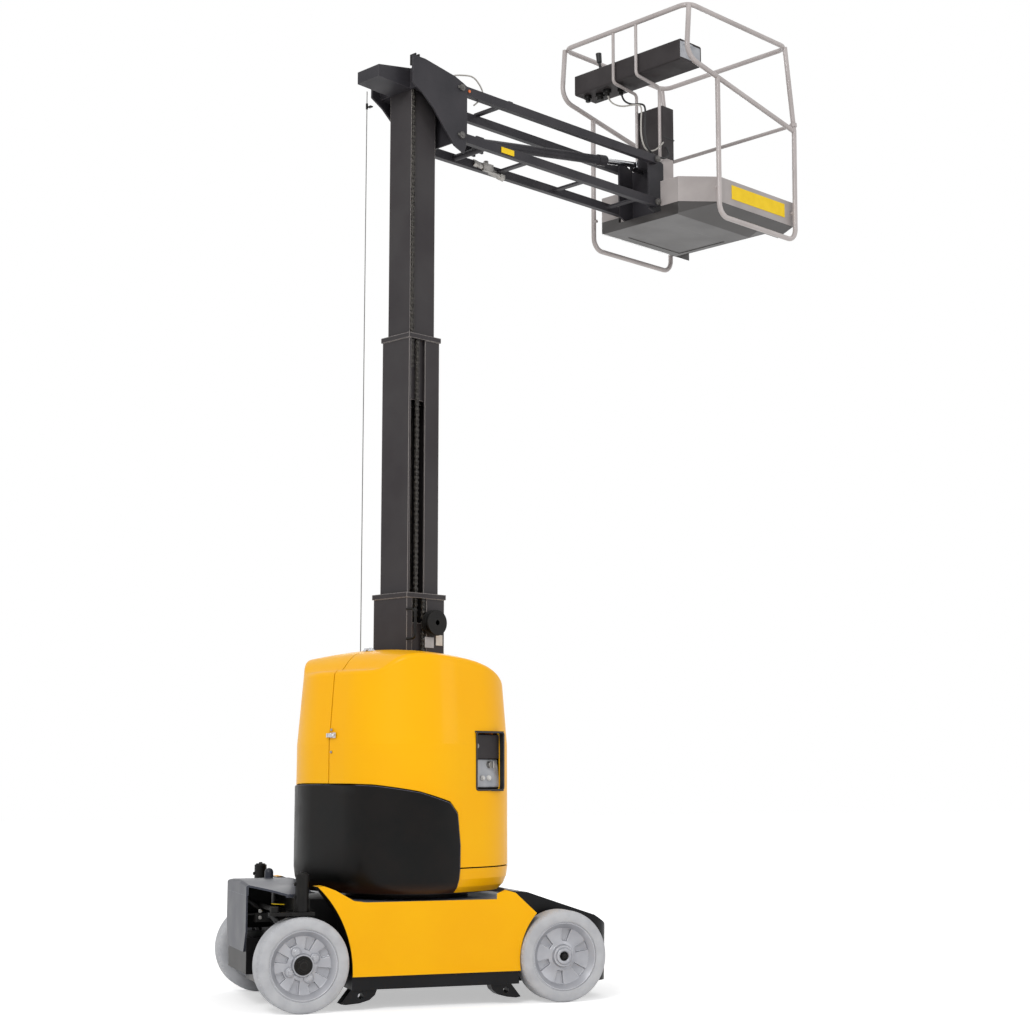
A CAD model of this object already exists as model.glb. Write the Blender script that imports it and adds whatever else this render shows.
"""Vertical mast lift: camera, studio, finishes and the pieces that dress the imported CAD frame."""
import logging
from dataclasses import dataclass
from enum import Enum
from math import atan2, cos, hypot, pi, radians, sin
from typing import Any, Iterable, Sequence

import bmesh
import bpy
from mathutils import Matrix, Vector


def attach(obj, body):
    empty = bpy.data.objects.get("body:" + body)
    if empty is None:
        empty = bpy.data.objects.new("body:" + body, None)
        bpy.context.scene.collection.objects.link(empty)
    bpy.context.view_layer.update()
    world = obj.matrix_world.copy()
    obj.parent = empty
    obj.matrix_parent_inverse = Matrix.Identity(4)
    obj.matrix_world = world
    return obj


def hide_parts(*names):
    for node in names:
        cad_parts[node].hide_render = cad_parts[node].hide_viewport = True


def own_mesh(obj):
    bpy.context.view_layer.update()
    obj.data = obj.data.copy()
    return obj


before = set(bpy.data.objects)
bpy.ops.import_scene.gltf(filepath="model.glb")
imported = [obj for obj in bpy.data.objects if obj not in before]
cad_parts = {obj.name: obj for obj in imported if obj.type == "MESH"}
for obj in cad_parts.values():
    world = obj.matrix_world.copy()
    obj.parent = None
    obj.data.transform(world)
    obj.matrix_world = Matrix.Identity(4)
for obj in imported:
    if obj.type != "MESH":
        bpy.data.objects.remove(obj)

LOG = logging.getLogger("mast_lift")
SLEW = Matrix.Rotation(radians(25.1), 4, "Z")
STILL = Matrix.Identity(4)
MM = 0.001
AXLE_X = 0.6  # half the wheelbase
WHEEL_Y = 0.4325  # middle of a wheel
WHEEL_R = 0.203  # outside of a tyre
PIN_Z = (4.15, 4.396)  # the jib's lower and upper pins
PATCH_SPAN = (0.38, 0.64)  # noise values between which a tone drifts
SPECK_SPAN = (0.16, 0.08)  # distance from a cell's middle, clear to full speck
WEAR_SPAN = (0.985, 0.86)  # cosine between rounded and flat normal, clean to worn
DOWN_SPAN = (-0.3, -0.7)  # slope of faces that look down, bare to full film
Points = tuple[tuple[float, ...], ...]


def linear(colour: str) -> tuple[float, float, float, float]:
    """Turn an sRGB hex colour into the linear values that shaders take.

    Args:
        colour: Hex colour such as "#FFBE06".

    Returns:
        Red, green, blue and alpha, linear.
    """
    values = [int(colour[i : i + 2], 16) / 255 for i in (1, 3, 5)]
    r, g, b = (v / 12.92 if v <= 0.04045 else ((v + 0.055) / 1.055) ** 2.4 for v in values)
    return (r, g, b, 1.0)


def add_node(
    tree: bpy.types.NodeTree, kind: str, inputs: dict[Any, Any] | None = None, **settings: Any
) -> bpy.types.Node:
    """Add one shader node with its settings and links.

    Args:
        tree: Node tree of a material or world.
        kind: Node type without its ShaderNode prefix.
        inputs: Socket name or number to a value or to another node's output.
        settings: Attributes of the node.

    Returns:
        The new node.
    """
    node = tree.nodes.new("ShaderNode" + kind)
    for key, value in settings.items():
        setattr(node, key, value)
    for key, value in (inputs or {}).items():
        if isinstance(value, bpy.types.NodeSocket):
            tree.links.new(value, node.inputs[key])
        else:
            node.inputs[key].default_value = value
    return node


def fresh_tree(owner: bpy.types.Material | bpy.types.World) -> bpy.types.NodeTree:
    """Switch nodes on and hand over an empty tree."""
    owner.use_nodes = True
    owner.node_tree.nodes.clear()
    return owner.node_tree


def link(name: str, data: bpy.types.ID) -> bpy.types.Object:
    """Put a new object into the scene at the origin."""
    made = bpy.data.objects.new(name, data)
    bpy.context.scene.collection.objects.link(made)
    return made


def to_mesh(name: str, bm: bmesh.types.BMesh) -> bpy.types.Mesh:
    """Turn a bmesh into a mesh and free it."""
    mesh = bpy.data.meshes.new(name)
    bm.to_mesh(mesh)
    bm.free()
    return mesh


@dataclass(frozen=True)
class Finish:
    """A surface made the way its real process makes it: a tone, its drift, a grain and worn edges.

    Args:
        title: Material name, after the real material and process.
        tone: Main colour, sRGB hex.
        drift: Second colour of the slow variation, sRGB hex.
        drift_mm: Size of the slow variation's patches.
        grain_mm: Spacing of the surface grain.
        grain_depth_mm: Height of the grain.
        rough: Roughness.
        rough_drift: How far roughness wanders with the patches.
        metal: Metallic value.
        coat: Clear coat weight.
        edge: Colour of worn or caught edges, sRGB hex, or empty.
        edge_mm: Radius at which edges catch light.
        speck: Colour of fine specks, sRGB hex, or empty.
        speck_mm: Size of the specks.
        specular: Specular level, half for a plain dielectric.
        under: Colour of faces that look down, sRGB hex, or empty.
        below: Height under which the surface takes the under colour, metres.
        film_top: Height above which faces that look down stay clean, metres.
    """

    title: str
    tone: str
    drift: str
    drift_mm: float = 180.0
    grain_mm: float = 2.0
    grain_depth_mm: float = 0.05
    rough: float = 0.4
    rough_drift: float = 0.06
    metal: float = 0.0
    coat: float = 0.0
    edge: str = ""
    edge_mm: float = 3.0
    speck: str = ""
    speck_mm: float = 4.0
    specular: float = 0.5
    under: str = ""
    below: float = -1.0
    film_top: float = 99.0

    def shade_under(self, tree: bpy.types.NodeTree, place: Any, colour: Any) -> Any:
        """Darken what looks down or lies low, where road film and shade collect.

        Args:
            tree: Node tree of the material.
            place: Object coordinates.
            colour: Colour so far.

        Returns:
            The colour socket to go on with.
        """
        if not self.under:
            return colour
        facing = add_node(tree, "SeparateXYZ", {0: add_node(tree, "TexCoord").outputs["Normal"]})
        bare, full = DOWN_SPAN
        down = add_node(tree, "MapRange", {"Value": facing.outputs["Z"], "From Min": bare, "From Max": full})
        height = add_node(tree, "SeparateXYZ", {0: place})
        low = add_node(tree, "Math", {0: height.outputs["Z"], 1: self.below}, operation="LESS_THAN")
        reach = add_node(tree, "Math", {0: height.outputs["Z"], 1: self.film_top}, operation="LESS_THAN")
        film = add_node(tree, "Math", {0: down.outputs[0], 1: reach.outputs[0]}, operation="MULTIPLY")
        mask = add_node(tree, "Math", {0: film.outputs[0], 1: low.outputs[0]}, operation="MAXIMUM")
        return add_node(
            tree, "Mix", {0: mask.outputs[0], 6: colour, 7: linear(self.under)}, data_type="RGBA"
        ).outputs[2]

    def material(self) -> bpy.types.Material:
        """Build the material, or find it where it is built already.

        Returns:
            The material.
        """
        found = bpy.data.materials.get(self.title)
        if found:
            return found
        mat = bpy.data.materials.new(self.title)
        tree = fresh_tree(mat)
        place = add_node(tree, "TexCoord").outputs["Object"]
        patches = add_node(
            tree, "TexNoise", {"Vector": place, "Scale": 1 / (self.drift_mm * MM), "Detail": 4.0}
        )
        low, high = PATCH_SPAN
        spread = add_node(tree, "MapRange", {"Value": patches.outputs[0], "From Min": low, "From Max": high})
        mix = add_node(
            tree, "Mix", {0: spread.outputs[0], 6: linear(self.tone), 7: linear(self.drift)},
            data_type="RGBA",
        )
        colour = mix.outputs[2]
        grain = add_node(
            tree, "TexNoise", {"Vector": place, "Scale": 1 / (self.grain_mm * MM), "Detail": 2.0}
        )
        if self.speck:
            flecks = add_node(tree, "TexVoronoi", {"Vector": place, "Scale": 1 / (self.speck_mm * MM)})
            clear, full = SPECK_SPAN
            near = {"Value": flecks.outputs["Distance"], "From Min": clear, "From Max": full}
            dots = add_node(tree, "MapRange", near)
            gate = add_node(tree, "Math", {0: dots.outputs[0], 1: spread.outputs[0]}, operation="MULTIPLY")
            mix = add_node(
                tree, "Mix", {0: gate.outputs[0], 6: colour, 7: linear(self.speck)}, data_type="RGBA"
            )
            colour = mix.outputs[2]
        soft = add_node(tree, "Bevel", {"Radius": self.edge_mm * MM}, samples=6)
        if self.edge:
            flat = add_node(tree, "NewGeometry").outputs["Normal"]
            same = add_node(tree, "VectorMath", {0: soft.outputs[0], 1: flat}, operation="DOT_PRODUCT")
            clean, worn = WEAR_SPAN
            bend = {"Value": same.outputs["Value"], "From Min": clean, "From Max": worn, "To Max": 0.8}
            wear = add_node(tree, "MapRange", bend)
            mix = add_node(
                tree, "Mix", {0: wear.outputs[0], 6: colour, 7: linear(self.edge)}, data_type="RGBA"
            )
            colour = mix.outputs[2]
        colour = self.shade_under(tree, place, colour)
        lift = {"Value": spread.outputs[0], "To Min": self.rough, "To Max": self.rough + self.rough_drift}
        rough = add_node(tree, "MapRange", lift)
        bump = {
            "Height": grain.outputs[0], "Strength": 0.6, "Distance": self.grain_depth_mm * MM,
            "Normal": soft.outputs[0],
        }
        relief = add_node(tree, "Bump", bump)
        shader = add_node(
            tree,
            "BsdfPrincipled",
            {
                "Base Color": colour,
                "Roughness": rough.outputs[0],
                "Metallic": self.metal,
                "Specular IOR Level": self.specular,
                "Coat Weight": self.coat,
                "Coat Roughness": 0.08,
                "Normal": relief.outputs[0],
            },
        )
        add_node(tree, "OutputMaterial", {"Surface": shader.outputs[0]})
        return mat


@dataclass(frozen=True)
class BodyPaint(Finish):
    """Enamel that stops at the wheel arches, whose insides are sprayed black.

    Args:
        arch: Colour inside the arches, sRGB hex.
        arch_x: Distance from the middle where the arches start, metres.
        arch_y: Half width inside which the arch colour is used, metres.
        deck: Colour of the deck round the turret's bearing, sRGB hex.
        deck_z: Height of that deck, metres.
    """

    arch: str = "#100F10"
    arch_x: float = 0.377
    arch_y: float = 0.4625
    deck: str = "#5C6270"
    deck_z: float = 0.462

    def shade_under(self, tree: bpy.types.NodeTree, place: Any, colour: Any) -> Any:
        """Blacken the arches' insides, but not the deck on top of them.

        Args:
            tree: Node tree of the material.
            place: Object coordinates.
            colour: Colour so far.

        Returns:
            The colour socket to go on with.
        """
        at = add_node(tree, "SeparateXYZ", {0: place}).outputs
        up = add_node(tree, "SeparateXYZ", {0: add_node(tree, "TexCoord").outputs["Normal"]}).outputs["Z"]
        made: dict[Any, Any] = {}
        steps = (
            ("along", "ABSOLUTE", at["X"]), ("far", "GREATER_THAN", "along", self.arch_x),
            ("across", "ABSOLUTE", at["Y"]), ("inside", "LESS_THAN", "across", self.arch_y),
            ("rear", "LESS_THAN", at["X"], 0.0), ("under", "LESS_THAN", at["Z"], self.deck_z + 0.008),
            ("low", "MULTIPLY", "rear", "under"), ("steep", "LESS_THAN", up, 0.5),
            ("shaded", "MAXIMUM", "steep", "low"), ("arch", "MULTIPLY", "far", "inside"),
            ("mask", "MULTIPLY", "arch", "shaded"), ("level", "COMPARE", at["Z"], self.deck_z, 0.0015),
            ("flat", "GREATER_THAN", up, 0.9), ("floor", "MULTIPLY", "level", "flat"),
        )
        for step, operation, *values in steps:
            sockets = {i: made[v] if isinstance(v, str) else v for i, v in enumerate(values)}
            made[step] = add_node(tree, "Math", sockets, operation=operation).outputs[0]
        for part, paint in (("floor", self.deck), ("mask", self.arch)):
            inputs = {0: made[part], 6: colour, 7: linear(paint)}
            colour = add_node(tree, "Mix", inputs, data_type="RGBA").outputs[2]
        return colour


# Polyurethane enamel on moulded hood skins: deep colour, thin clear coat with slight orange peel.
ENAMEL = Finish(
    "yellow_polyurethane_enamel", "#FFBB00", "#FFB700", 420, 3.0, 0.02, 0.38, 0.05, coat=0.1, edge="#FFC52A",
    edge_mm=1.6, specular=0.12,
)
# The same enamel sprayed on the steel chassis, with black arches.
BODY_ENAMEL = BodyPaint(
    "yellow_chassis_enamel", "#FFBB00", "#FCB500", 380, 3.0, 0.02, 0.4, 0.06, coat=0.08, edge="#FFC835",
    edge_mm=4, specular=0.12,
)
# Gloss black coat on the cast weight: sand-cast waviness shows through, with a brown film low down.
CAST_BLACK = Finish(
    "black_coated_casting", "#080808", "#100D0C", 120, 5.0, 0.12, 0.34, 0.1, coat=0.03, edge="#8A8896",
    edge_mm=6, under="#2E1A0C", specular=0.14, film_top=0.66,
)
# Satin black sheet steel: smooth, with a cool sky sheen.
SHEET_BLACK = Finish(
    "black_satin_sheet", "#0E0E10", "#141518", 120, 2.0, 0.03, 0.32, 0.08, edge="#3F4149", edge_mm=1.5,
    specular=0.18,
)
# Slate powder coat on the steering cover: even, with bright corners.
LID_BLACK = Finish(
    "slate_powder_coat_lid", "#2F313A", "#373A45", 160, 1.6, 0.03, 0.36, 0.08, coat=0.04, edge="#8F93A2",
    edge_mm=1.2, specular=0.3,
)
# The same black, rubbed bright where hands and straps run over the weight's ledge.
LEDGE_BLACK = Finish(
    "rubbed_black_casting", "#3E3D50", "#353443", 60, 3.0, 0.06, 0.3, 0.08, edge="#6A6880", edge_mm=3,
    specular=0.3,
)
# Anthracite powder coat on the mast's folded sections: fine texture, light catches the corners.
MAST_GREY = Finish(
    "anthracite_powder_coat", "#3A3738", "#332F31", 300, 1.4, 0.04, 0.46, 0.08, edge="#B5AEAA", edge_mm=6,
    specular=0.2,
)
# Graphite powder coat on the jib's welded tubes.
ARM_GREY = Finish(
    "graphite_powder_coat", "#38363A", "#2F2E32", 220, 1.4, 0.04, 0.4, 0.08, edge="#6A6668", edge_mm=2,
    specular=0.2,
)
# Warm light grey enamel on the platform's bent tubes.
RAIL_GREY = Finish(
    "warm_grey_enamel", "#B9B1AF", "#ADA5A3", 240, 2.5, 0.02, 0.34, 0.08, coat=0.2, edge="#DCD6D3",
    edge_mm=3,
)
# The same enamel on the folded tray, whose underside and pan are in road film.
TRAY_GREY = Finish(
    "tray_enamel", "#AAA3A1", "#9C9593", 200, 2.5, 0.02, 0.38, 0.08, coat=0.15, edge="#D5CFCC", edge_mm=3,
    under="#3B3837", below=4.128,
)
# Fine-grained moulded ABS of the control box.
CONSOLE_GREY = Finish(
    "textured_grey_abs", "#3B3738", "#332F30", 160, 0.9, 0.05, 0.5, 0.08, edge="#6E6969", edge_mm=3,
    specular=0.2,
)
# Non-marking solid rubber: pale grey, chalky and matt.
TYRE_GREY = Finish(
    "non_marking_rubber", "#BEBFC2", "#B2B3B7", 70, 1.5, 0.05, 0.72, 0.1, edge="#D4D5D8", edge_mm=4,
    speck="#A2A3A6", speck_mm=7,
)
# Silver wheel paint on the cast disc: half dull, with bright rims.
RIM_SILVER = Finish(
    "silver_painted_wheel", "#B0B1B6", "#A0A1A7", 90, 1.8, 0.03, 0.36, 0.08, metal=0.4, edge="#E8E9EB",
    edge_mm=4,
)
# Zinc plate on bolts and pins: bright, unevenly dulled.
STEEL = Finish(
    "zinc_plated_steel", "#A9A6A2", "#8F8D8A", 30, 0.8, 0.02, 0.32, 0.12, metal=0.9, edge="#D8D6D2",
    edge_mm=2,
)
# Zinc plate gone dull on the jib's pins.
DULL_STEEL = Finish(
    "dulled_zinc_plate", "#6E6C6A", "#575553", 20, 0.8, 0.02, 0.45, 0.12, metal=0.5, edge="#A5A3A0",
    edge_mm=1.5,
)
# Hard chrome on the rod and the toggle latches: a clean mirror.
CHROME = Finish("hard_chromed_rod", "#D5D6D8", "#C4C6CA", 60, 0.5, 0.004, 0.12, 0.04, metal=1.0)
# Oiled leaf chain: dark plates with rubbed rims.
CHAIN_STEEL = Finish(
    "oiled_chain_steel", "#1C1A19", "#2A2725", 18, 1.0, 0.03, 0.34, 0.16, metal=0.5, edge="#8B857C",
    edge_mm=1.5,
)
# Blacked steel on hubs, axles and small castings.
DARK_STEEL = Finish(
    "blacked_steel", "#111010", "#1A1918", 40, 1.2, 0.04, 0.42, 0.12, metal=0.1, edge="#4A4745", edge_mm=2,
    specular=0.2,
)
# Hose rubber and cable jackets.
RUBBER = Finish("black_hose_rubber", "#1A1A1B", "#252526", 40, 0.8, 0.03, 0.52, 0.1)
PALE_CABLE = Finish("grey_pvc_cable", "#B8B4AE", "#A8A49E", 30, 0.8, 0.02, 0.45, 0.08)
# Blank vinyl plates.
PLATE_YELLOW = Finish("yellow_vinyl_label", "#F6CF12", "#EFC70C", 60, 1.0, 0.01, 0.4, 0.05, specular=0.3)
PLATE_WHITE = Finish("white_vinyl_label", "#DEDCD8", "#D2D0CC", 60, 1.0, 0.01, 0.4, 0.05)
# Light grey membrane panel of the ground controls, and the amber lens.
PANEL_GREY = Finish(
    "light_grey_membrane_panel", "#B2B4B9", "#A3A6AC", 50, 0.9, 0.02, 0.4, 0.06, edge="#E1E3E6", edge_mm=3
)
AMBER = Finish("amber_moulded_lens", "#E8722A", "#D9641E", 20, 0.6, 0.01, 0.25, 0.05, coat=0.4)


class Slot(Enum):
    """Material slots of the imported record."""

    YELLOW = "yellow_paint"
    BLACK = "black_paint"
    PLASTIC = "black_plastic"
    TYRE = "tyre"
    RIM = "rim_paint"
    MAST = "mast_paint"
    CHAIN = "chain_steel"
    CHROME = "chrome_rod"
    PLATFORM = "platform_paint"
    GREY = "grey_plastic"


def bar(
    bm: bmesh.types.BMesh, a: Sequence[float], b: Sequence[float], radius: float, steps: int = 16,
    tip: float | None = None,
) -> None:
    """Add a round bar between two points.

    Args:
        bm: Mesh to add to.
        a: Start point, metres.
        b: End point, metres.
        radius: Radius at the start.
        steps: Faces round the bar.
        tip: Radius at the end, the start's if left out.
    """
    a, b = Vector(a), Vector(b)
    run = b - a
    turn = run.to_track_quat("Z", "Y").to_matrix().to_4x4()
    place = Matrix.Translation((a + b) / 2) @ turn
    end = radius if tip is None else tip
    bmesh.ops.create_cone(
        bm, cap_ends=True, segments=steps, radius1=radius, radius2=end, depth=run.length, matrix=place
    )


def block(bm: bmesh.types.BMesh, low: Sequence[float], high: Sequence[float], turn: Matrix = STILL) -> list:
    """Add a block between two corners.

    Args:
        bm: Mesh to add to.
        low: Lowest corner, metres.
        high: Highest corner, metres.
        turn: Matrix applied after the block is placed.

    Returns:
        The new vertices.
    """
    low, high = Vector(low), Vector(high)
    size = high - low
    place = turn @ Matrix.Translation((low + high) / 2) @ Matrix.Diagonal((*size, 1.0))
    return bmesh.ops.create_cube(bm, size=1.0, matrix=place)["verts"]


def lathe(bm: bmesh.types.BMesh, outline: Iterable[Sequence[float]], place: Matrix, steps: int = 48) -> None:
    """Spin an outline of (radius, height) points about its own Z axis.

    Args:
        bm: Mesh to add to.
        outline: Points from the first end to the last.
        place: Where the axis goes.
        steps: Faces round the turn.
    """
    old = set(bm.verts)
    verts = [bm.verts.new((r, 0.0, h)) for r, h in outline]
    edges = [bm.edges.new(pair) for pair in zip(verts[:-1], verts[1:])]
    turn = {"cent": (0, 0, 0), "axis": (0, 0, 1), "angle": 2 * pi, "steps": steps, "use_merge": True}
    bmesh.ops.spin(bm, geom=verts + edges, use_duplicate=False, **turn)
    bmesh.ops.remove_doubles(bm, verts=[v for v in bm.verts if v not in old], dist=1e-5)
    bmesh.ops.transform(bm, matrix=place, verts=[v for v in bm.verts if v not in old])


def publish(
    name: str,
    bm: bmesh.types.BMesh,
    finish: Finish,
    body: str,
    place: Matrix = STILL,
    angle: float = 35.0,
    bevel_mm: float = 0.0,
    fix_normals: bool = True,
) -> bpy.types.Object:
    """Turn a mesh into a finished piece that rides on its body.

    Args:
        name: Piece name.
        bm: Finished shape, freed here.
        finish: Surface.
        body: CAD body that it moves with.
        place: Matrix from the piece's own frame to the row frame.
        angle: Edges sharper than this stay sharp, degrees.
        bevel_mm: Bevel width, none at zero.
        fix_normals: Whether the normals are recalculated.

    Returns:
        The piece.
    """
    bmesh.ops.transform(bm, matrix=place, verts=bm.verts)
    if fix_normals:
        bmesh.ops.recalc_face_normals(bm, faces=bm.faces)
    mesh = to_mesh(name, bm)
    mesh.shade_smooth()
    mesh.set_sharp_from_angle(angle=radians(angle))
    mesh.materials.append(finish.material())
    piece = link(name, mesh)
    if bevel_mm:
        bevel = piece.modifiers.new("edge", "BEVEL")
        bevel.width = bevel_mm * MM
        bevel.segments = 2
        bevel.limit_method = "ANGLE"
        bevel.angle_limit = radians(35)
    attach(piece, body)
    LOG.info("%s rides on %s", name, body)
    return piece


def plate(
    name: str,
    low: Sequence[float],
    high: Sequence[float],
    finish: Finish,
    body: str,
    bevel_mm: float,
) -> None:
    """Stick one thin plate on its body, in the turret's frame.

    Args:
        name: Piece name.
        low: Lowest corner, metres.
        high: Highest corner, metres.
        finish: Surface.
        body: CAD body that it moves with.
        bevel_mm: Bevel width.
    """
    bm = bmesh.new()
    block(bm, low, high)
    publish(name, bm, finish, body, SLEW, bevel_mm=bevel_mm)


@dataclass
class Wheel:
    """One silver wheel with cast pockets, its bolts, its hub and its tyre.

    Args:
        end: Which axle, steered or fixed.
        side: Which side, near or far.
        centre: Middle of the wheel, metres.
        pockets: Pockets in the disc: eight on a driven wheel, six on a free one.
        outward: Side as a sign along Y.
        steps: Faces round the disc.
        pocket_steps: Faces across one pocket.
        pocket_ring: Inner and outer radius of the pockets.
        short_inner: Inner radius of the pockets that leave room for a bolt.
        web_z: Height over which the disc's front face lies.
        hub_r: Radius of the hub.
        tyre_r: Outside of the tyre.
        tyre_half: Half the tyre's width.
        bead_r: Inside of the tyre.
        bolt_circle: Radius on which the bolts stand.
        bolt_start: Turn of the first bolt, degrees.
    """

    end: str
    side: str
    centre: Vector
    pockets: int
    outward: float
    steps: int = 48
    pocket_steps: int = 3
    pocket_ring: tuple[float, float] = (0.07, 0.122)
    short_inner: float = 0.09
    web_z: float = 0.0225
    hub_r: float = 0.046
    tyre_r: float = WHEEL_R
    tyre_half: float = 0.0625
    bead_r: float = 0.152
    bolt_circle: float = 0.061
    bolt_start: float = 27.0

    def frame(self) -> Matrix:
        """Matrix that stands the wheel's own Z axis outwards along Y."""
        turn = Matrix.Rotation(-pi / 2 * self.outward, 4, "X")
        return Matrix.Translation(self.centre) @ turn

    def tag(self) -> str:
        """Which wheel this is, as its names say it."""
        return f"{self.end}_{self.side}"

    def body(self) -> str:
        """Body that the wheel turns with."""
        return f"wheel_{self.tag()}"

    def phase(self) -> float:
        """Turn of the first pocket as the wheel stands, radians."""
        return radians(15.75 if self.pockets == 8 else 9.75)

    def face(self) -> None:
        """Dished disc: rings are spun, then the pockets are sunk between the ribs."""
        bm = bmesh.new()
        rings = [
            (0.024, 0.004), (0.024, 0.046), (self.hub_r, 0.045), (0.052, 0.028), (0.066, 0.023),
            (0.088, 0.024),
        ]
        rings += [
            (0.108, 0.027), (0.124, 0.032), (0.136, 0.047), (0.146, 0.0565), (0.1517, 0.056),
            (0.1517, -0.056),
        ]
        rings += [(0.138, -0.056), (0.132, 0.01), (0.1, 0.006), (0.05, 0.004), (0.024, 0.004)]
        lathe(bm, rings, STILL, self.steps)
        sector = self.steps // self.pockets
        full, outer = self.pocket_ring
        for index in range(self.pockets):
            inner = self.short_inner if self.pockets == 8 and index % 2 == 0 else full
            chosen = []
            for face in bm.faces:
                mid = face.calc_center_median()
                radius = hypot(mid.x, mid.y)
                step = int(((pi + atan2(mid.y, mid.x)) / (2 * pi)) * self.steps) % self.steps
                within = 0 <= step - index * sector < self.pocket_steps
                if inner < radius < outer and mid.z > self.web_z and within:
                    chosen.append(face)
            bmesh.ops.inset_region(bm, faces=chosen, thickness=0.003, depth=-0.014, use_even_offset=True)
        bmesh.ops.rotate(bm, cent=(0, 0, 0), matrix=Matrix.Rotation(self.phase(), 3, "Z"), verts=bm.verts)
        piece = publish(
            f"rim_face_{self.tag()}", bm, RIM_SILVER, self.body(), self.frame(), angle=28
        )
        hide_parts(f"rim_{self.tag()}")

    def bolts(self) -> None:
        """Hub: four bolts in bosses and a hexagon hub on a driven wheel, a plain nut on a free one."""
        bm = bmesh.new()
        dark = bmesh.new()
        if self.pockets == 8:
            for i in range(4):
                a = pi / 2 * i + radians(self.bolt_start)
                x, y = self.bolt_circle * cos(a), self.bolt_circle * sin(a)
                boss = [(0.0, 0.02), (0.0225, 0.02), (0.0225, 0.03), (0.018, 0.034), (0.0, 0.034)]
                lathe(bm, boss, Matrix.Translation((x, y, 0)), 24)
                bar(bm, (x, y, 0.03), (x, y, 0.0425), 0.0115, 6)
            bar(dark, (0, 0, 0.04), (0, 0, 0.051), 0.0425, 32, 0.04)
            bar(dark, (0, 0, 0.048), (0, 0, 0.06), 0.029, 6)
            bar(dark, (0, 0, 0.058), (0, 0, 0.0615), 0.016, 20)
        else:
            ring = [(0.0205, 0.03), (0.038, 0.03), (0.038, 0.048), (0.034, 0.054), (0.026, 0.055)]
            lathe(bm, ring + [(0.0205, 0.051), (0.0205, 0.03)], STILL, 40)
            bar(dark, (0, 0, 0.024), (0, 0, 0.042), 0.0206, 32)
            bar(dark, (0, 0, 0.042), (0, 0, 0.054), 0.013, 6)
            bar(dark, (0, 0, 0.052), (0, 0, 0.058), 0.0055, 12)
        publish(f"wheel_hub_{self.tag()}", bm, RIM_SILVER, self.body(), self.frame(), bevel_mm=1.2)
        publish(
            f"hub_nut_{self.tag()}", dark, DARK_STEEL, self.body(), self.frame(), bevel_mm=1.0
        )

    def tyre(self) -> None:
        """Solid tyre whose two shoulders carry short moulded nicks."""
        half, rim, out = self.tyre_half, self.bead_r, self.tyre_r
        side = [
            (rim, half - 0.004), (rim + 0.006, half - 0.001), (out - 0.034, half),
            (out - 0.02, half - 0.0012),
        ]
        side += [(out - 0.01, half - 0.004), (out - 0.0035, half - 0.0095), (out, half - 0.018)]
        outline = side + [(r, -z) for r, z in reversed(side)] + [side[0]]
        bm = bmesh.new()
        lathe(bm, outline, STILL, 2 * self.steps)
        nicks = []
        for face in bm.faces:
            mid = face.calc_center_median()
            step = int(((pi + atan2(mid.y, mid.x)) / (2 * pi)) * 2 * self.steps)
            if out - 0.0035 < hypot(mid.x, mid.y) < out - 0.001 and step % 2:
                nicks.append(face)
        bmesh.ops.inset_individual(bm, faces=nicks, thickness=0.0026, depth=-0.0035, use_even_offset=True)
        piece = publish(
            f"tyre_rubber_{self.tag()}", bm, TYRE_GREY, self.body(), self.frame(), angle=40
        )
        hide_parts(f"tyre_{self.tag()}")

    def build(self) -> None:
        """Make the wheel's pieces."""
        self.face()
        self.bolts()
        self.tyre()


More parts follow.
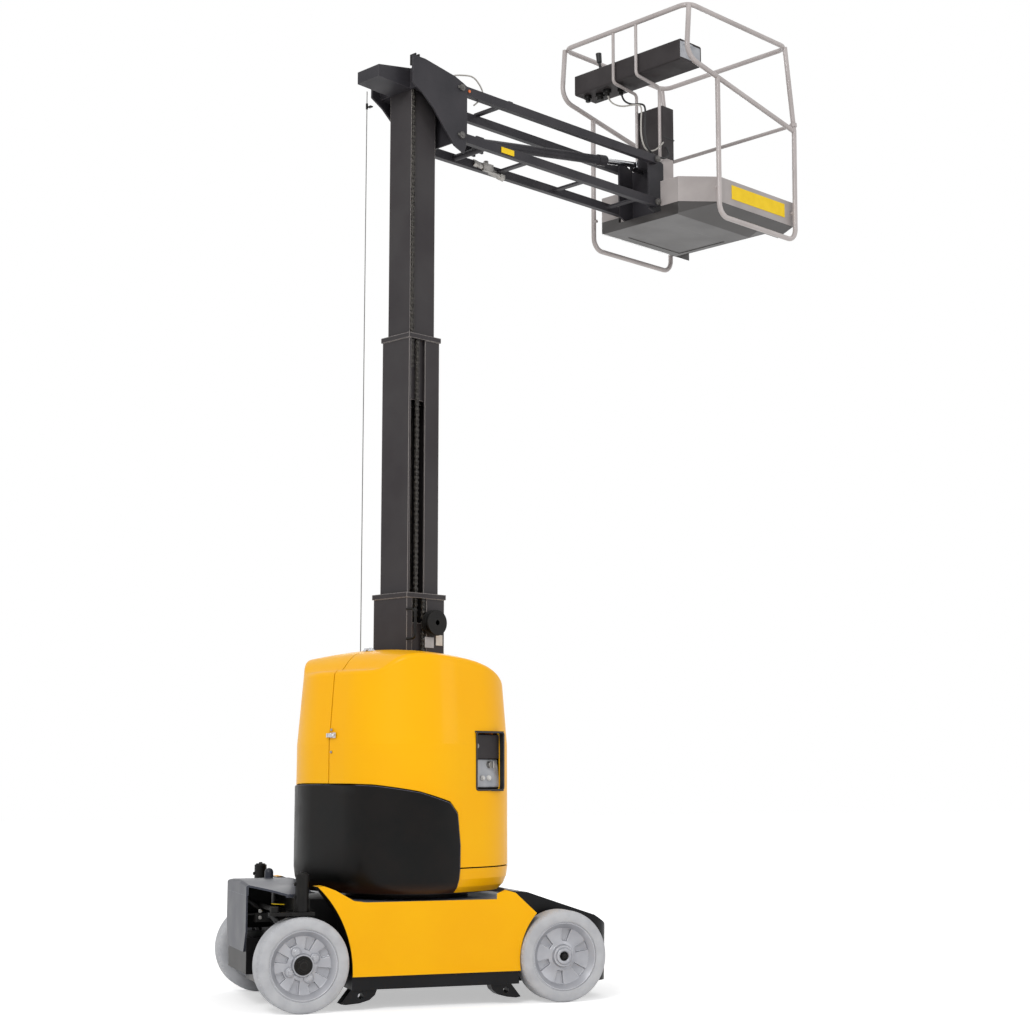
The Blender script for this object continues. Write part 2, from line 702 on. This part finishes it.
@dataclass
class Studio:
    """Camera at the photograph's place, a pale floor and soft plain light.

    Args:
        eye: Place of the camera, metres.
        heading: Turn of the camera from the Y axis, radians.
        pitch: Tilt of the camera upwards, radians.
        lens: Focal length, millimetres.
        floor_half: Half the floor's width, metres.
        floor_glow: Strength that brings the floor up to white.
        ambient: Strength of the surroundings on the object.
        aim: Point that the lamps look at.
    """

    eye: tuple[float, float, float] = (-2.4575, -8.2933, 1.0379)
    heading: float = 0.3466
    pitch: float = 0.1391
    lens: float = 63.466
    floor_half: float = 30.0
    floor_glow: float = 0.46
    ambient: float = 0.62
    aim: tuple[float, float, float] = (0.3, 0.2, 2.0)

    def camera(self) -> None:
        """Place the camera."""
        data = bpy.data.cameras.new("photo_camera")
        data.sensor_width = 36.0
        data.lens = self.lens
        data.clip_end = 100.0
        cam = link("photo_camera", data)
        cam.location = self.eye
        cam.rotation_euler = (pi / 2 + self.pitch, 0.0, -self.heading)
        bpy.context.scene.camera = cam

    def seen(self, tree: bpy.types.NodeTree) -> bpy.types.NodeSocket:
        """Tell the rays that show the background: the camera's, those off gloss and those through glass.

        Args:
            tree: Node tree of the floor or the world.

        Returns:
            Socket that is one for such a ray.
        """
        path = add_node(tree, "LightPath").outputs
        mask = path["Is Camera Ray"]
        for ray in ("Is Glossy Ray", "Is Transmission Ray"):
            mask = add_node(tree, "Math", {0: mask, 1: path[ray]}, operation="MAXIMUM").outputs[0]
        return mask

    def floor(self) -> None:
        """Pale floor that shows white to the camera and keeps the shadow."""
        bm = bmesh.new()
        bmesh.ops.create_grid(bm, x_segments=1, y_segments=1, size=self.floor_half)
        ground = link("studio_floor", to_mesh("studio_floor", bm))
        mat = bpy.data.materials.new("pale_floor")
        tree = fresh_tree(mat)
        glow = add_node(tree, "Math", {0: self.seen(tree), 1: self.floor_glow}, operation="MULTIPLY")
        shade = {"Base Color": linear("#F2F2F2"), "Roughness": 0.9, "Specular IOR Level": 0.0}
        light = {"Emission Color": (1.0, 1.0, 1.0, 1.0), "Emission Strength": glow.outputs[0]}
        shader = add_node(tree, "BsdfPrincipled", {**shade, **light})
        add_node(tree, "OutputMaterial", {"Surface": shader.outputs[0]})
        ground.data.materials.append(mat)

    def sky(self) -> None:
        """Even pale surroundings, white to the camera, to gloss and to glass."""
        world = bpy.data.worlds.new("studio_world")
        bpy.context.scene.world = world
        tree = fresh_tree(world)
        strength = add_node(
            tree, "MapRange", {"Value": self.seen(tree), "To Min": self.ambient, "To Max": 1.0}
        )
        light = add_node(
            tree, "Background", {"Color": (1.0, 1.0, 1.0, 1.0), "Strength": strength.outputs[0]}
        )
        add_node(tree, "OutputWorld", {"Surface": light.outputs[0]})

    def lamps(self) -> None:
        """Three soft panels: a key over the camera's left shoulder, a weak fill and one behind."""
        table = (
            ("key_panel", (-5.5, -7.5, 7.5), 420.0, 3.0),
            ("fill_panel", (6.5, -6.0, 4.0), 100.0, 4.0),
            ("rear_panel", (3.0, 8.0, 6.0), 110.0, 4.0),
        )
        for name, place, power, size in table:
            data = bpy.data.lights.new(name, "AREA")
            data.energy = power
            data.size = size
            lamp = link(name, data)
            lamp.location = place
            beam = Vector(self.aim) - Vector(place)
            lamp.rotation_euler = beam.to_track_quat("-Z", "Y").to_euler()

    def build(self) -> None:
        """Set the view transform and make the stage."""
        bpy.context.scene.view_settings.view_transform = "Standard"
        self.camera()
        self.floor()
        self.sky()
        self.lamps()


def hose(
    name: str,
    points: Iterable[Sequence[float]],
    radius: float,
    finish: Finish,
    body: str,
    place: Matrix = SLEW,
    closed: bool = False,
) -> bpy.types.Object:
    """Lay a hose, cable or trim strip on one smooth line.

    Args:
        name: Piece name.
        points: Control points in the piece's own frame, metres.
        radius: Half the diameter.
        finish: Surface.
        body: CAD body that it rides on.
        place: Matrix from the piece's own frame to the row frame.
        closed: Whether the line joins up.

    Returns:
        The piece.
    """
    route = [place @ Vector(p) for p in points]
    data = bpy.data.curves.new(name, "CURVE")
    data.dimensions = "3D"
    data.bevel_resolution = 3
    data.resolution_u = 8
    line = data.splines.new("NURBS")
    line.points.add(len(route) - 1)
    for point, at in zip(line.points, route):
        point.co = (*at, 1.0)
    line.order_u = 3
    line.use_cyclic_u = closed
    line.use_endpoint_u = not closed
    piece = link(name, data)
    bpy.context.view_layer.update()
    plain = bpy.data.meshes.new_from_object(piece)
    bpy.data.meshes.remove(plain)
    data.bevel_depth = radius
    data.use_fill_caps = not closed
    data.materials.append(finish.material())
    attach(piece, body)
    LOG.info("%s rides on %s", name, body)
    return piece


@dataclass
class Turret:
    """Counterweight casting, latches, control window and control box, in the turret's own frame.

    Args:
        window: Left, right, lower and upper side of the control window.
        corner: Half width of the weight's flat rear.
        corner_x: Distance of the corner's centre behind the middle.
        corner_r: Radius of the weight's corner.
        crescent: Sections of the recess: place along the skin, lower and upper side, depth.
        ledge_z: Heights between which the ledge lies.
        ledge_slope: Upward slopes that belong to the ledge.
        control_x: Left and right side of the control box.
    """

    window: tuple[float, float, float, float] = (-0.008, 0.162, 0.945, 1.205)
    corner: float = 0.105
    corner_x: float = 0.103
    corner_r: float = 0.38
    crescent: Points = (
        (-0.27, 0.83, 0.85, 0.003), (-0.215, 0.78, 0.898, 0.02), (-0.13, 0.765, 0.915, 0.034),
        (-0.054, 0.757, 0.922, 0.04), (0.03, 0.749, 0.918, 0.042), (0.105, 0.745, 0.908, 0.042),
        (0.2, 0.751, 0.9, 0.038), (0.293, 0.761, 0.885, 0.03), (0.34, 0.767, 0.87, 0.014),
        (0.385, 0.776, 0.852, -0.002), (0.43, 0.79, 0.826, -0.022),
    )
    ledge_z: tuple[float, float] = (0.74, 0.81)
    ledge_slope: tuple[float, float] = (0.45, 0.97)
    control_x: tuple[float, float] = (-0.006, 0.17)

    def latch(self, name: str, body: str, at: Sequence[float], turn: Matrix) -> None:
        """Chromed toggle latch: base, lever and hook.

        Args:
            name: Piece name.
            body: Body that it rides on.
            at: Place of its base.
            turn: Rotation that stands its Z axis out of the skin and its X axis across the seam.
        """
        bm = bmesh.new()
        block(bm, (-0.034, -0.012, -0.004), (-0.006, 0.012, 0.003))
        block(bm, (0.008, -0.01, -0.004), (0.03, 0.01, 0.004))
        block(bm, (-0.03, -0.008, 0.003), (0.012, 0.008, 0.009))
        bar(bm, (-0.008, -0.011, 0.008), (-0.008, 0.011, 0.008), 0.0045, 12)
        bar(bm, (0.018, -0.009, 0.007), (0.018, 0.009, 0.007), 0.005, 12)
        bar(bm, (-0.022, 0.0, 0.007), (-0.022, 0.0, 0.0125), 0.006, 12)
        publish(name, bm, CHROME, body, SLEW @ Matrix.Translation(at) @ turn, bevel_mm=1.2)

    def latches(self) -> None:
        """Latches on the rear seam and on the roof behind the mast."""
        rear = Matrix.Rotation(-pi / 2, 4, "Y") @ Matrix.Rotation(pi / 2, 4, "Z")
        self.latch("rear_latch", "hood_near", (-0.4795, -0.016, 1.19), rear)
        self.latch("roof_latch", "hood_near", (-0.262, -0.016, 1.583), Matrix.Rotation(pi / 2, 4, "Z"))
        bm = bmesh.new()
        for z in (1.115, 1.215):
            bar(bm, (-0.4765, -0.018, z), (-0.4815, -0.018, z), 0.006, 12)
        publish("rear_seam_screws", bm, STEEL, "hood_near", SLEW, bevel_mm=0.8)

    def window_trim(self) -> None:
        """Rubber edge strip round the control window, and the dark reveal behind it."""
        x0, x1, z0, z1 = self.window
        y, r = -0.4795, 0.026
        pts = [(x0 + r, y, z0), (x1 - r, y, z0), (x1, y, z0), (x1, y, z0 + r), (x1, y, z1 - r), (x1, y, z1)]
        pts += [(x1 - r, y, z1), (x0 + r, y, z1), (x0, y, z1), (x0, y, z1 - r), (x0, y, z0 + r), (x0, y, z0)]
        hose("window_trim", pts, 0.0045, RUBBER, "hood_near", closed=True)
        bm = bmesh.new()
        skin, wall, gap = 0.007, 0.006, 0.001
        front, back = -0.474, -0.45
        block(bm, (x1 + gap, front, z0), (x1 + skin, back, z1))
        block(bm, (x0 - skin, front, z0), (x0 - gap, back, z1))
        block(bm, (x0 - skin, front, z1), (x1 + skin, back, z1 + wall))
        block(bm, (x0 - skin, front, z0 - wall), (x1 + skin, back, z0))
        publish("window_reveal", bm, RUBBER, "hood_near", SLEW, bevel_mm=0.8)

    def controls(self) -> None:
        """Ground control box: black display above a light panel with key switch and buttons."""
        left, right = self.control_x
        bm = bmesh.new()
        block(bm, (left, -0.449, 1.085), (right, -0.372, 1.196))
        block(bm, (0.03, -0.42, 0.504), (0.12, -0.39, 0.96))
        black = publish("control_hood", bm, CONSOLE_GREY, "turret", SLEW, bevel_mm=4)
        bm = bmesh.new()
        verts = block(bm, (left, -0.449, 0.955), (right, -0.376, 1.084))
        for vert in verts:
            if vert.co.z > 1.0 and vert.co.y < -0.42:
                vert.co.y += 0.018
        panel = publish("control_panel", bm, PANEL_GREY, "turret", SLEW, bevel_mm=5)
        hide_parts("ground_controls")
        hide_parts("ground_controls")
        bm = bmesh.new()
        bar(bm, (0.112, -0.43, 1.058), (0.112, -0.452, 1.058), 0.017, 24, 0.015)
        block(bm, (0.1085, -0.466, 1.043), (0.1155, -0.448, 1.073))
        bar(bm, (0.02, -0.44, 1.143), (0.02, -0.455, 1.143), 0.013, 24, 0.011)
        publish("key_switch", bm, STEEL, "turret", SLEW, bevel_mm=1)
        bm = bmesh.new()
        for x in (0.06, 0.1):
            bar(bm, (x, -0.43, 0.998), (x, -0.4515, 0.998), 0.012, 24)
            bar(bm, (x, -0.43, 0.998), (x, -0.456, 0.998), 0.008, 24)
        publish("control_buttons", bm, PLATE_WHITE, "turret", SLEW, bevel_mm=1.5)

    def skin(self, u: float, depth: float) -> Vector:
        """Point on the weight's rear and near corner.

        Args:
            u: Place along the skin, positive to the near side.
            depth: How far inside the skin.

        Returns:
            The point, at height zero.
        """
        radius, centre = self.corner_r - depth, self.corner
        if u < centre:
            return Vector((-self.corner_x - radius, -u, 0.0))
        side = min(u - centre, radius - 1e-4)
        return Vector((-self.corner_x - (radius * radius - side * side) ** 0.5, -u, 0.0))

    def scoop(self) -> bpy.types.Object:
        """Crescent cutter: deepest over its sloping ledge, running out at the top and at both ends.

        Returns:
            The cutter.
        """
        bm = bmesh.new()
        loops = []
        proud, flare, slope = -0.03, 0.012, 0.55
        for u, low, high, depth in self.crescent:
            ring = []
            outline = (
                (proud, low - flare), (0.0, low), (depth, low + slope * depth), (0.0, high),
                (proud, high + flare),
            )
            for inside, z in outline:
                at = self.skin(u, inside)
                ring.append(bm.verts.new((at.x, at.y, z)))
            loops.append(ring)
        rims = [[bm.edges.new(pair) for pair in zip(ring, ring[1:] + ring[:1])] for ring in loops]
        for first, second in zip(rims[:-1], rims[1:]):
            bmesh.ops.bridge_loops(bm, edges=first + second)
        bm.faces.new(loops[0])
        bm.faces.new(loops[-1])
        bmesh.ops.transform(bm, matrix=SLEW, verts=bm.verts)
        bmesh.ops.recalc_face_normals(bm, faces=bm.faces)
        return link("scoop", to_mesh("scoop", bm))

    def casting(self) -> None:
        """Counterweight with the scooped recess in its rear."""
        bm = bmesh.new()
        bm.from_mesh(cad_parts["counterweight"].data)
        bmesh.ops.remove_doubles(bm, verts=bm.verts, dist=1e-5)
        name = "counterweight_casting"
        piece = publish(name, bm, CAST_BLACK, "turret", angle=30, fix_normals=False)
        cutter = self.scoop()
        cut = piece.modifiers.new("scoop", "BOOLEAN")
        cut.operation = "DIFFERENCE"
        cut.solver = "EXACT"
        cut.object = cutter
        graph = bpy.context.evaluated_depsgraph_get()
        plain = bpy.data.meshes.new_from_object(piece.evaluated_get(graph))
        piece.modifiers.clear()
        piece.data = plain
        bpy.data.objects.remove(cutter)
        plain.set_sharp_from_angle(angle=radians(24))
        plain.materials.append(LEDGE_BLACK.material())
        low, high = self.ledge_z
        flat, steep = self.ledge_slope
        for face in plain.polygons:
            if low < face.center.z < high and flat < face.normal.z < steep:
                face.material_index = 1
        LOG.info("counterweight cut: %d faces", len(plain.polygons))
        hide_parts("counterweight")

    def build(self) -> None:
        """Make the turret's fittings."""
        self.casting()
        self.latches()
        self.window_trim()
        self.controls()


@dataclass
class Chassis:
    """Fittings of the chassis: caps of the kingpin sleeves, motor hoses and stays of the steering cover.

    Args:
        axle_x: Place of the steered axle, metres.
        hose_r: Half a motor hose's diameter.
    """

    axle_x: float = -AXLE_X
    hose_r: float = 0.008

    def sleeve_caps(self) -> None:
        """Caps, grease nipples and clamp bolts on the kingpin sleeves."""
        bm = bmesh.new()
        for side in (-1, 1):
            y = side * WHEEL_Y
            bar(bm, (self.axle_x, y, 0.584), (self.axle_x, y, 0.592), 0.026, 24, 0.021)
            bar(bm, (self.axle_x, y, 0.590), (self.axle_x, y, 0.598), 0.009, 6)
            for z in (0.49, 0.545):
                bar(bm, (self.axle_x - 0.024, y, z), (self.axle_x - 0.036, y, z), 0.008, 6)
        publish("kingpin_caps", bm, DARK_STEEL, "chassis", bevel_mm=1.5)

    def plumbing(self) -> None:
        """Hoses from the spine to the two wheel motors, with the yellow tag on one."""
        for side in (-1, 1):
            for k, lift in enumerate((0.0, 0.026)):
                y = side * 0.21
                pts = [(-0.655, y * 0.75, 0.36 + lift), (-0.7, y * 0.95, 0.385 + lift)]
                pts += [(-0.705, side * 0.27, 0.405), (-0.66, side * 0.31, 0.37 - lift)]
                pts += [(-0.63, side * 0.3, 0.3 - lift), (-0.615, side * 0.292, 0.255)]
                tag = "near" if side < 0 else "far"
                hose(f"motor_hose_{tag}_{k}", pts, self.hose_r, RUBBER, "chassis", STILL)
        bm = bmesh.new()
        block(bm, (-0.742, -0.362, 0.405), (-0.69, -0.33, 0.4075), Matrix.Rotation(radians(4), 4, "Y"))
        publish("hose_tag", bm, PLATE_YELLOW, "chassis")

    def cover_stays(self) -> None:
        """Web and brackets that carry the cover's end, with the bolts of the near one."""
        bm = bmesh.new()
        block(bm, (-0.797, -0.004, 0.33), (-0.64, 0.004, 0.53))
        block(bm, (-0.797, -0.2, 0.40), (-0.66, -0.004, 0.406))
        for y in (-0.17, 0.17):
            bar(bm, (-0.79, y, 0.47), (-0.705, y, 0.404), 0.011, 8)
        block(bm, (-0.76, -0.24, 0.372), (-0.67, -0.19, 0.41))
        publish("cover_stays", bm, DARK_STEEL, "chassis", bevel_mm=1.5)
        bm = bmesh.new()
        for x, z in ((-0.742, 0.392), (-0.69, 0.392), (-0.742, 0.42)):
            bar(bm, (x, -0.236, z), (x, -0.2475, z), 0.0085, 6)
        publish("stay_bolts", bm, STEEL, "chassis", bevel_mm=0.8)

    def build(self) -> None:
        """Make the chassis fittings."""
        self.sleeve_caps()
        self.plumbing()
        self.cover_stays()


@dataclass
class Chain:
    """A leaf chain strand that replaces its plain CAD bar.

    Args:
        node: CAD node that it stands for.
        body: Body that it rides on.
        x: Lane centre across the mast's face.
        face_y: Outermost side of the strand.
        low: Lower end.
        high: Upper end.
        pitch: Distance from pin to pin.
        margin: Bare length at the upper end.
    """

    node: str
    body: str
    x: float
    face_y: float
    low: float
    high: float
    pitch: float = 0.0254
    margin: float = 0.012

    def link(self, bm: bmesh.types.BMesh, z: float, depth: float, width: float) -> None:
        """Add one figure-of-eight plate.

        Args:
            bm: Mesh to add to.
            z: Height of its lower pin.
            depth: How far behind the face it lies.
            width: Diameter of its ends.
        """
        y0 = self.face_y + depth
        for end in (0.0, self.pitch):
            bar(bm, (self.x, y0, z + end), (self.x, y0 + 0.0028, z + end), width / 2, 10)
        block(bm, (self.x - width * 0.33, y0, z), (self.x + width * 0.33, y0 + 0.0028, z + self.pitch))

    def build(self) -> None:
        """Make the strand."""
        bm = bmesh.new()
        count = int((self.high - self.low - self.margin) / self.pitch)
        start = self.high - self.margin - count * self.pitch
        for i in range(count):
            z = start + i * self.pitch
            if i % 2:
                self.link(bm, z, 0.0012, 0.0215)
                self.link(bm, z, 0.0094, 0.0215)
            else:
                self.link(bm, z, 0.0044, 0.0205)
            bar(bm, (self.x, self.face_y, z), (self.x, self.face_y + 0.0128, z), 0.0042, 8)
        piece = publish(
            self.node + "_links", bm, CHAIN_STEEL, self.body, SLEW, fix_normals=False
        )
        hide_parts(self.node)


@dataclass
class MastFittings:
    """Handle, reel, plates, hose and switch wire on the mast's sections and head.

    Args:
        face_y: Near face of the base section.
        cheek_y: Outside of the head's cheeks.
        pin_x: Place of the jib's pins on the head.
        handle: Points of the handle: distance off the face and height.
        spool: Outline of the cable reel: radius and height.
        jib_hose: Points of the loop over the head.
        wire_x: Place of the switch wire along the jib.
        wire_y: Place of the switch wire across the jib.
        wire_z: Lower and upper end of the wire.
        travel: How far the head comes down with both stages.
    """

    face_y: float = -0.1184
    cheek_y: float = 0.1565
    pin_x: float = 0.183
    handle: Points = (
        (0.0, 1.64), (0.03, 1.64), (0.058, 1.645), (0.06, 1.68),
        (0.06, 1.74), (0.058, 1.775), (0.03, 1.78), (0.0, 1.78),
    )
    spool: Points = (
        (0.012, -0.004), (0.06, -0.004), (0.062, 0.002), (0.05, 0.006),
        (0.05, 0.03), (0.062, 0.034), (0.06, 0.04), (0.012, 0.04),
    )
    jib_hose: Points = (
        (0.13, -0.12, 4.43), (0.15, -0.12, 4.462), (0.22, -0.12, 4.482), (0.296, -0.12, 4.498),
        (0.345, -0.12, 4.465), (0.372, -0.118, 4.425), (0.35, -0.115, 4.385), (0.31, -0.112, 4.35),
    )
    wire_x: float = -0.16
    wire_y: float = 0.163
    wire_z: tuple[float, float] = (1.5, 4.37)
    travel: float = 2.43

    def foot(self) -> None:
        """Handle loop, cable reel and blank plates over the hood."""
        y = self.face_y
        pts = [(-0.118, y - out, z) for out, z in self.handle]
        hose("lift_handle", pts, 0.006, DARK_STEEL, "turret")
        bm = bmesh.new()
        axle = Matrix.Translation((0.036, y - 0.042, 1.722)) @ Matrix.Rotation(-pi / 2, 4, "X")
        lathe(bm, self.spool, axle, 32)
        publish("cable_reel", bm, DARK_STEEL, "turret", SLEW, bevel_mm=0.8)
        low, high = (-0.004, y - 0.0025, 1.605), (0.052, y, 1.655)
        plate("rating_plate_blank", low, high, PANEL_GREY, "turret", 0.5)
        low, high = (0.066, y - 0.0022, 1.618), (0.108, y, 1.668)
        plate("foot_plate_blank", low, high, PLATE_WHITE, "turret", 0.5)

    def head(self) -> None:
        """Pin heads with their keepers, the rear bracket, the loop of hose and the wire."""
        bm = bmesh.new()
        x = self.pin_x
        for side in (-1, 1):
            y = side * self.cheek_y
            near, far = sorted((y, y + side * 0.006))
            for z in PIN_Z:
                bar(bm, (x, y, z), (x, y + side * 0.012, z), 0.017, 24)
                bar(bm, (x, y, z), (x, y + side * 0.018, z), 0.009, 6)
                block(bm, (0.158, near, z - 0.006), (x, far, z + 0.006))
        publish("head_pins", bm, DULL_STEEL, "mast_top", SLEW, bevel_mm=1)
        bm = bmesh.new()
        for x in (-0.12, -0.098):
            block(bm, (x, -0.15, 4.44), (x + 0.008, -0.11, 4.494))
        bar(bm, (-0.13, -0.13, 4.478), (-0.08, -0.13, 4.478), 0.008, 12)
        publish("head_bracket", bm, DARK_STEEL, "mast_top", SLEW, bevel_mm=1)
        hose("jib_hose", self.jib_hose, 0.004, PALE_CABLE, "mast_top")
        self.wire()

    def wire(self) -> None:
        """Taut switch wire on a lug at the head and one at the foot; it shortens as the mast lowers."""
        x, y, (foot, top) = self.wire_x, self.wire_y, self.wire_z
        bm = bmesh.new()
        bar(bm, (x, y, foot), (x, y, top), 0.0022, 8)
        line = publish("switch_wire", bm, DULL_STEEL, "turret", SLEW)
        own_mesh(line)
        lugs = (
            ("wire_lug_head", "mast_top", 4.29, -0.13, 0.15),
            ("wire_lug_foot", "turret", 1.52, -0.118, 0.118),
        )
        for name, body, z, from_x, from_y in lugs:
            bm = bmesh.new()
            block(bm, (from_x - 0.006, from_y - 0.006, z), (x + 0.006, y + 0.006, z + 0.006))
            bar(bm, (x, y, z - 0.012), (x, y, z + 0.018), 0.006, 6)
            publish(name, bm, DARK_STEEL, body, SLEW, bevel_mm=0.8)

    def build(self) -> None:
        """Make the mast's fittings and chains."""
        self.foot()
        self.head()
        Chain("chain_base", "turret", -0.009, -0.1184, 0.49, 1.86).build()
        Chain("chain_mid", "mast_mid", -0.039, -0.09685, 1.721, 3.113).build()
        Chain("chain_top", "mast_top", -0.069, -0.09155, 2.952, 4.34).build()


@dataclass
class Jib:
    """Pin heads, valve, marker and plate on the jib.

    Args:
        tip_x: Place of the pins at the platform's end.
        tip_y: Outside of the carrier's cheeks.
    """

    tip_x: float = 1.683
    tip_y: float = 0.1455

    def valve(self) -> None:
        """Silver lowering valve clamped on the lower arm's far bar, with its two unions."""
        bm = bmesh.new()
        block(bm, (0.585, 0.098, 4.128), (0.655, 0.146, 4.172))
        bar(bm, (0.54, 0.12, 4.158), (0.735, 0.12, 4.128), 0.0165, 20)
        bar(bm, (0.525, 0.12, 4.16), (0.55, 0.12, 4.156), 0.022, 6)
        bar(bm, (0.71, 0.12, 4.132), (0.745, 0.12, 4.127), 0.021, 6)
        bar(bm, (0.62, 0.12, 4.16), (0.62, 0.12, 4.19), 0.013, 12)
        publish("lowering_valve", bm, STEEL, "lower_arm", SLEW, bevel_mm=1.5)

    def build(self) -> None:
        """Make the jib's fittings."""
        bm = bmesh.new()
        x = self.tip_x
        for side in (-1, 1):
            y = side * self.tip_y
            for z in PIN_Z:
                bar(bm, (x, y, z), (x, y + side * 0.014, z), 0.018, 24)
                bar(bm, (x, y, z), (x, y + side * 0.02, z), 0.009, 6)
        publish("tip_pins", bm, DULL_STEEL, "platform", SLEW, bevel_mm=1)
        self.valve()
        low, high = (0.47, -0.15, 4.135), (0.56, -0.1465, 4.165)
        plate("arm_plate_blank", low, high, PLATE_YELLOW, "lower_arm", 0.6)
        bm = bmesh.new()
        bar(bm, (0.245, -0.1475, PIN_Z[1]), (0.245, -0.153, PIN_Z[1]), 0.009, 16, 0.006)
        publish("orange_marker", bm, AMBER, "upper_arm", SLEW, bevel_mm=1)


@dataclass
class Platform:
    """Operator's fittings: console furniture, seam of the document box, blank plate and cables.

    Args:
        top_z: Top of the console.
        button_y: Place of the first button across the console.
        button_gap: Distance from button to button.
        cable_a: Points of the black cable from the console to the column.
        cable_b: Points of the grey cable beside it.
    """

    top_z: float = 5.0
    button_y: float = 0.16
    button_gap: float = 0.06
    cable_a: Points = (
        (1.7, 0.13, 4.878), (1.7, 0.125, 4.82), (1.69, 0.05, 4.765), (1.66, -0.06, 4.735),
        (1.625, -0.118, 4.69), (1.612, -0.122, 4.6), (1.612, -0.122, 4.52), (1.63, -0.122, 4.452),
        (1.7, -0.122, 4.42), (1.79, -0.122, 4.43), (1.83, -0.118, 4.475), (1.815, -0.104, 4.51),
    )
    cable_b: Points = (
        (1.66, 0.2, 4.878), (1.66, 0.195, 4.82), (1.655, 0.1, 4.755), (1.64, -0.02, 4.735),
        (1.61, -0.105, 4.7), (1.59, -0.112, 4.6), (1.592, -0.112, 4.5), (1.63, -0.112, 4.44),
        (1.7, -0.112, 4.455), (1.76, -0.108, 4.5), (1.79, -0.104, 4.53),
    )

    def console(self) -> None:
        """Joystick, buttons, connectors and end brackets of the console."""
        bm = bmesh.new()
        bar(bm, (1.69, 0.27, self.top_z), (1.69, 0.27, 5.012), 0.03, 24, 0.02)
        bar(bm, (1.69, 0.27, 5.01), (1.675, 0.275, 5.085), 0.008, 12)
        bar(bm, (1.677, 0.2745, 5.075), (1.672, 0.276, 5.13), 0.015, 16, 0.017)
        for k in range(5):
            y = self.button_y - self.button_gap * k
            bar(bm, (1.66, y, self.top_z), (1.66, y, 5.014), 0.011, 16)
        publish("joystick", bm, RUBBER, "platform", SLEW, bevel_mm=1.5)
        bm = bmesh.new()
        for x, y, r in ((1.65, 0.34, 0.022), (1.68, 0.27, 0.028), (1.66, 0.2, 0.024), (1.7, 0.13, 0.02)):
            bar(bm, (x, y, 4.888), (x, y, 4.865), r, 20)
            bar(bm, (x, y, 4.87), (x, y, 4.848), r * 0.66, 8)
        publish("console_connectors", bm, DARK_STEEL, "platform", SLEW, bevel_mm=1)
        bm = bmesh.new()
        block(bm, (1.6, -0.394, 4.9), (1.77, -0.3915, 4.99))
        block(bm, (1.62, -0.4, 4.975), (1.7, -0.392, 4.99))
        publish("console_end_bracket", bm, PANEL_GREY, "platform", SLEW, bevel_mm=2)

    def build(self) -> None:
        """Make the platform's fittings."""
        self.console()
        low, high = (1.97, -0.4432, 4.165), (2.455, -0.4408, 4.245)
        plate("tray_plate_blank", low, high, PLATE_YELLOW, "platform", 0.8)
        low, high = (1.795, -0.0975, 4.565), (1.896, 0.0975, 4.571)
        plate("folder_seam", low, high, RUBBER, "platform", 0.5)
        hose("console_cable_a", self.cable_a, 0.0055, RUBBER, "platform")
        hose("console_cable_b", self.cable_b, 0.0045, PALE_CABLE, "platform")


FINISHED: tuple[tuple[Finish, str], ...] = (
    (BODY_ENAMEL, "chassis_body"),
    (ENAMEL, "front_fairing hood_near hood_far"),
    (SHEET_BLACK, "belly_pan nose_cover power_pack"),
    (LID_BLACK, "steer_cover"),
    (CAST_BLACK, "counterweight"),
    (DARK_STEEL, "slew_ring steer_axle fixed_axle knuckle_near knuckle_far tie_rod turret_base"),
    (PANEL_GREY, "ground_controls"),
    (MAST_GREY, "mast_base mast_mid mast_top"),
    (CHAIN_STEEL, "chain_base chain_mid chain_top"),
    (ARM_GREY, "jib_head jib_lower_arm jib_upper_arm jib_cylinder platform_carrier"),
    (CHROME, "jib_cylinder_rod"),
    (TRAY_GREY, "platform_tray"),
    (RAIL_GREY, "platform_column guard_rail side_frames console_stays gate_bar"),
    (CONSOLE_GREY, "console document_box"),
    (TYRE_GREY, "tyre_steered_near tyre_steered_far tyre_fixed_near tyre_fixed_far"),
    (RIM_SILVER, "rim_steered_near rim_steered_far rim_fixed_near rim_fixed_far"),
)
NODE_FINISH = {name: finish for finish, names in FINISHED for name in names.split()}


def dress_nodes() -> None:
    """Give every carried-over CAD node its finish."""
    for name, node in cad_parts.items():
        node.data.materials.clear()
        node.data.materials.append(NODE_FINISH[name].material())


def main() -> None:
    """Build the stage, the finishes and every sub-assembly in order."""
    logging.basicConfig(level=logging.INFO, format="%(message)s")
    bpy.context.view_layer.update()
    Studio().build()
    dress_nodes()
    for end, x, pockets in (("steered", -AXLE_X, 8), ("fixed", AXLE_X, 6)):
        for side, outward in (("near", -1.0), ("far", 1.0)):
            Wheel(end, side, Vector((x, WHEEL_Y * outward, WHEEL_R)), pockets, outward).build()
    for assembly in (Chassis(), Turret(), MastFittings(), Jib(), Platform()):
        assembly.build()


if __name__ == "__main__":
    main()
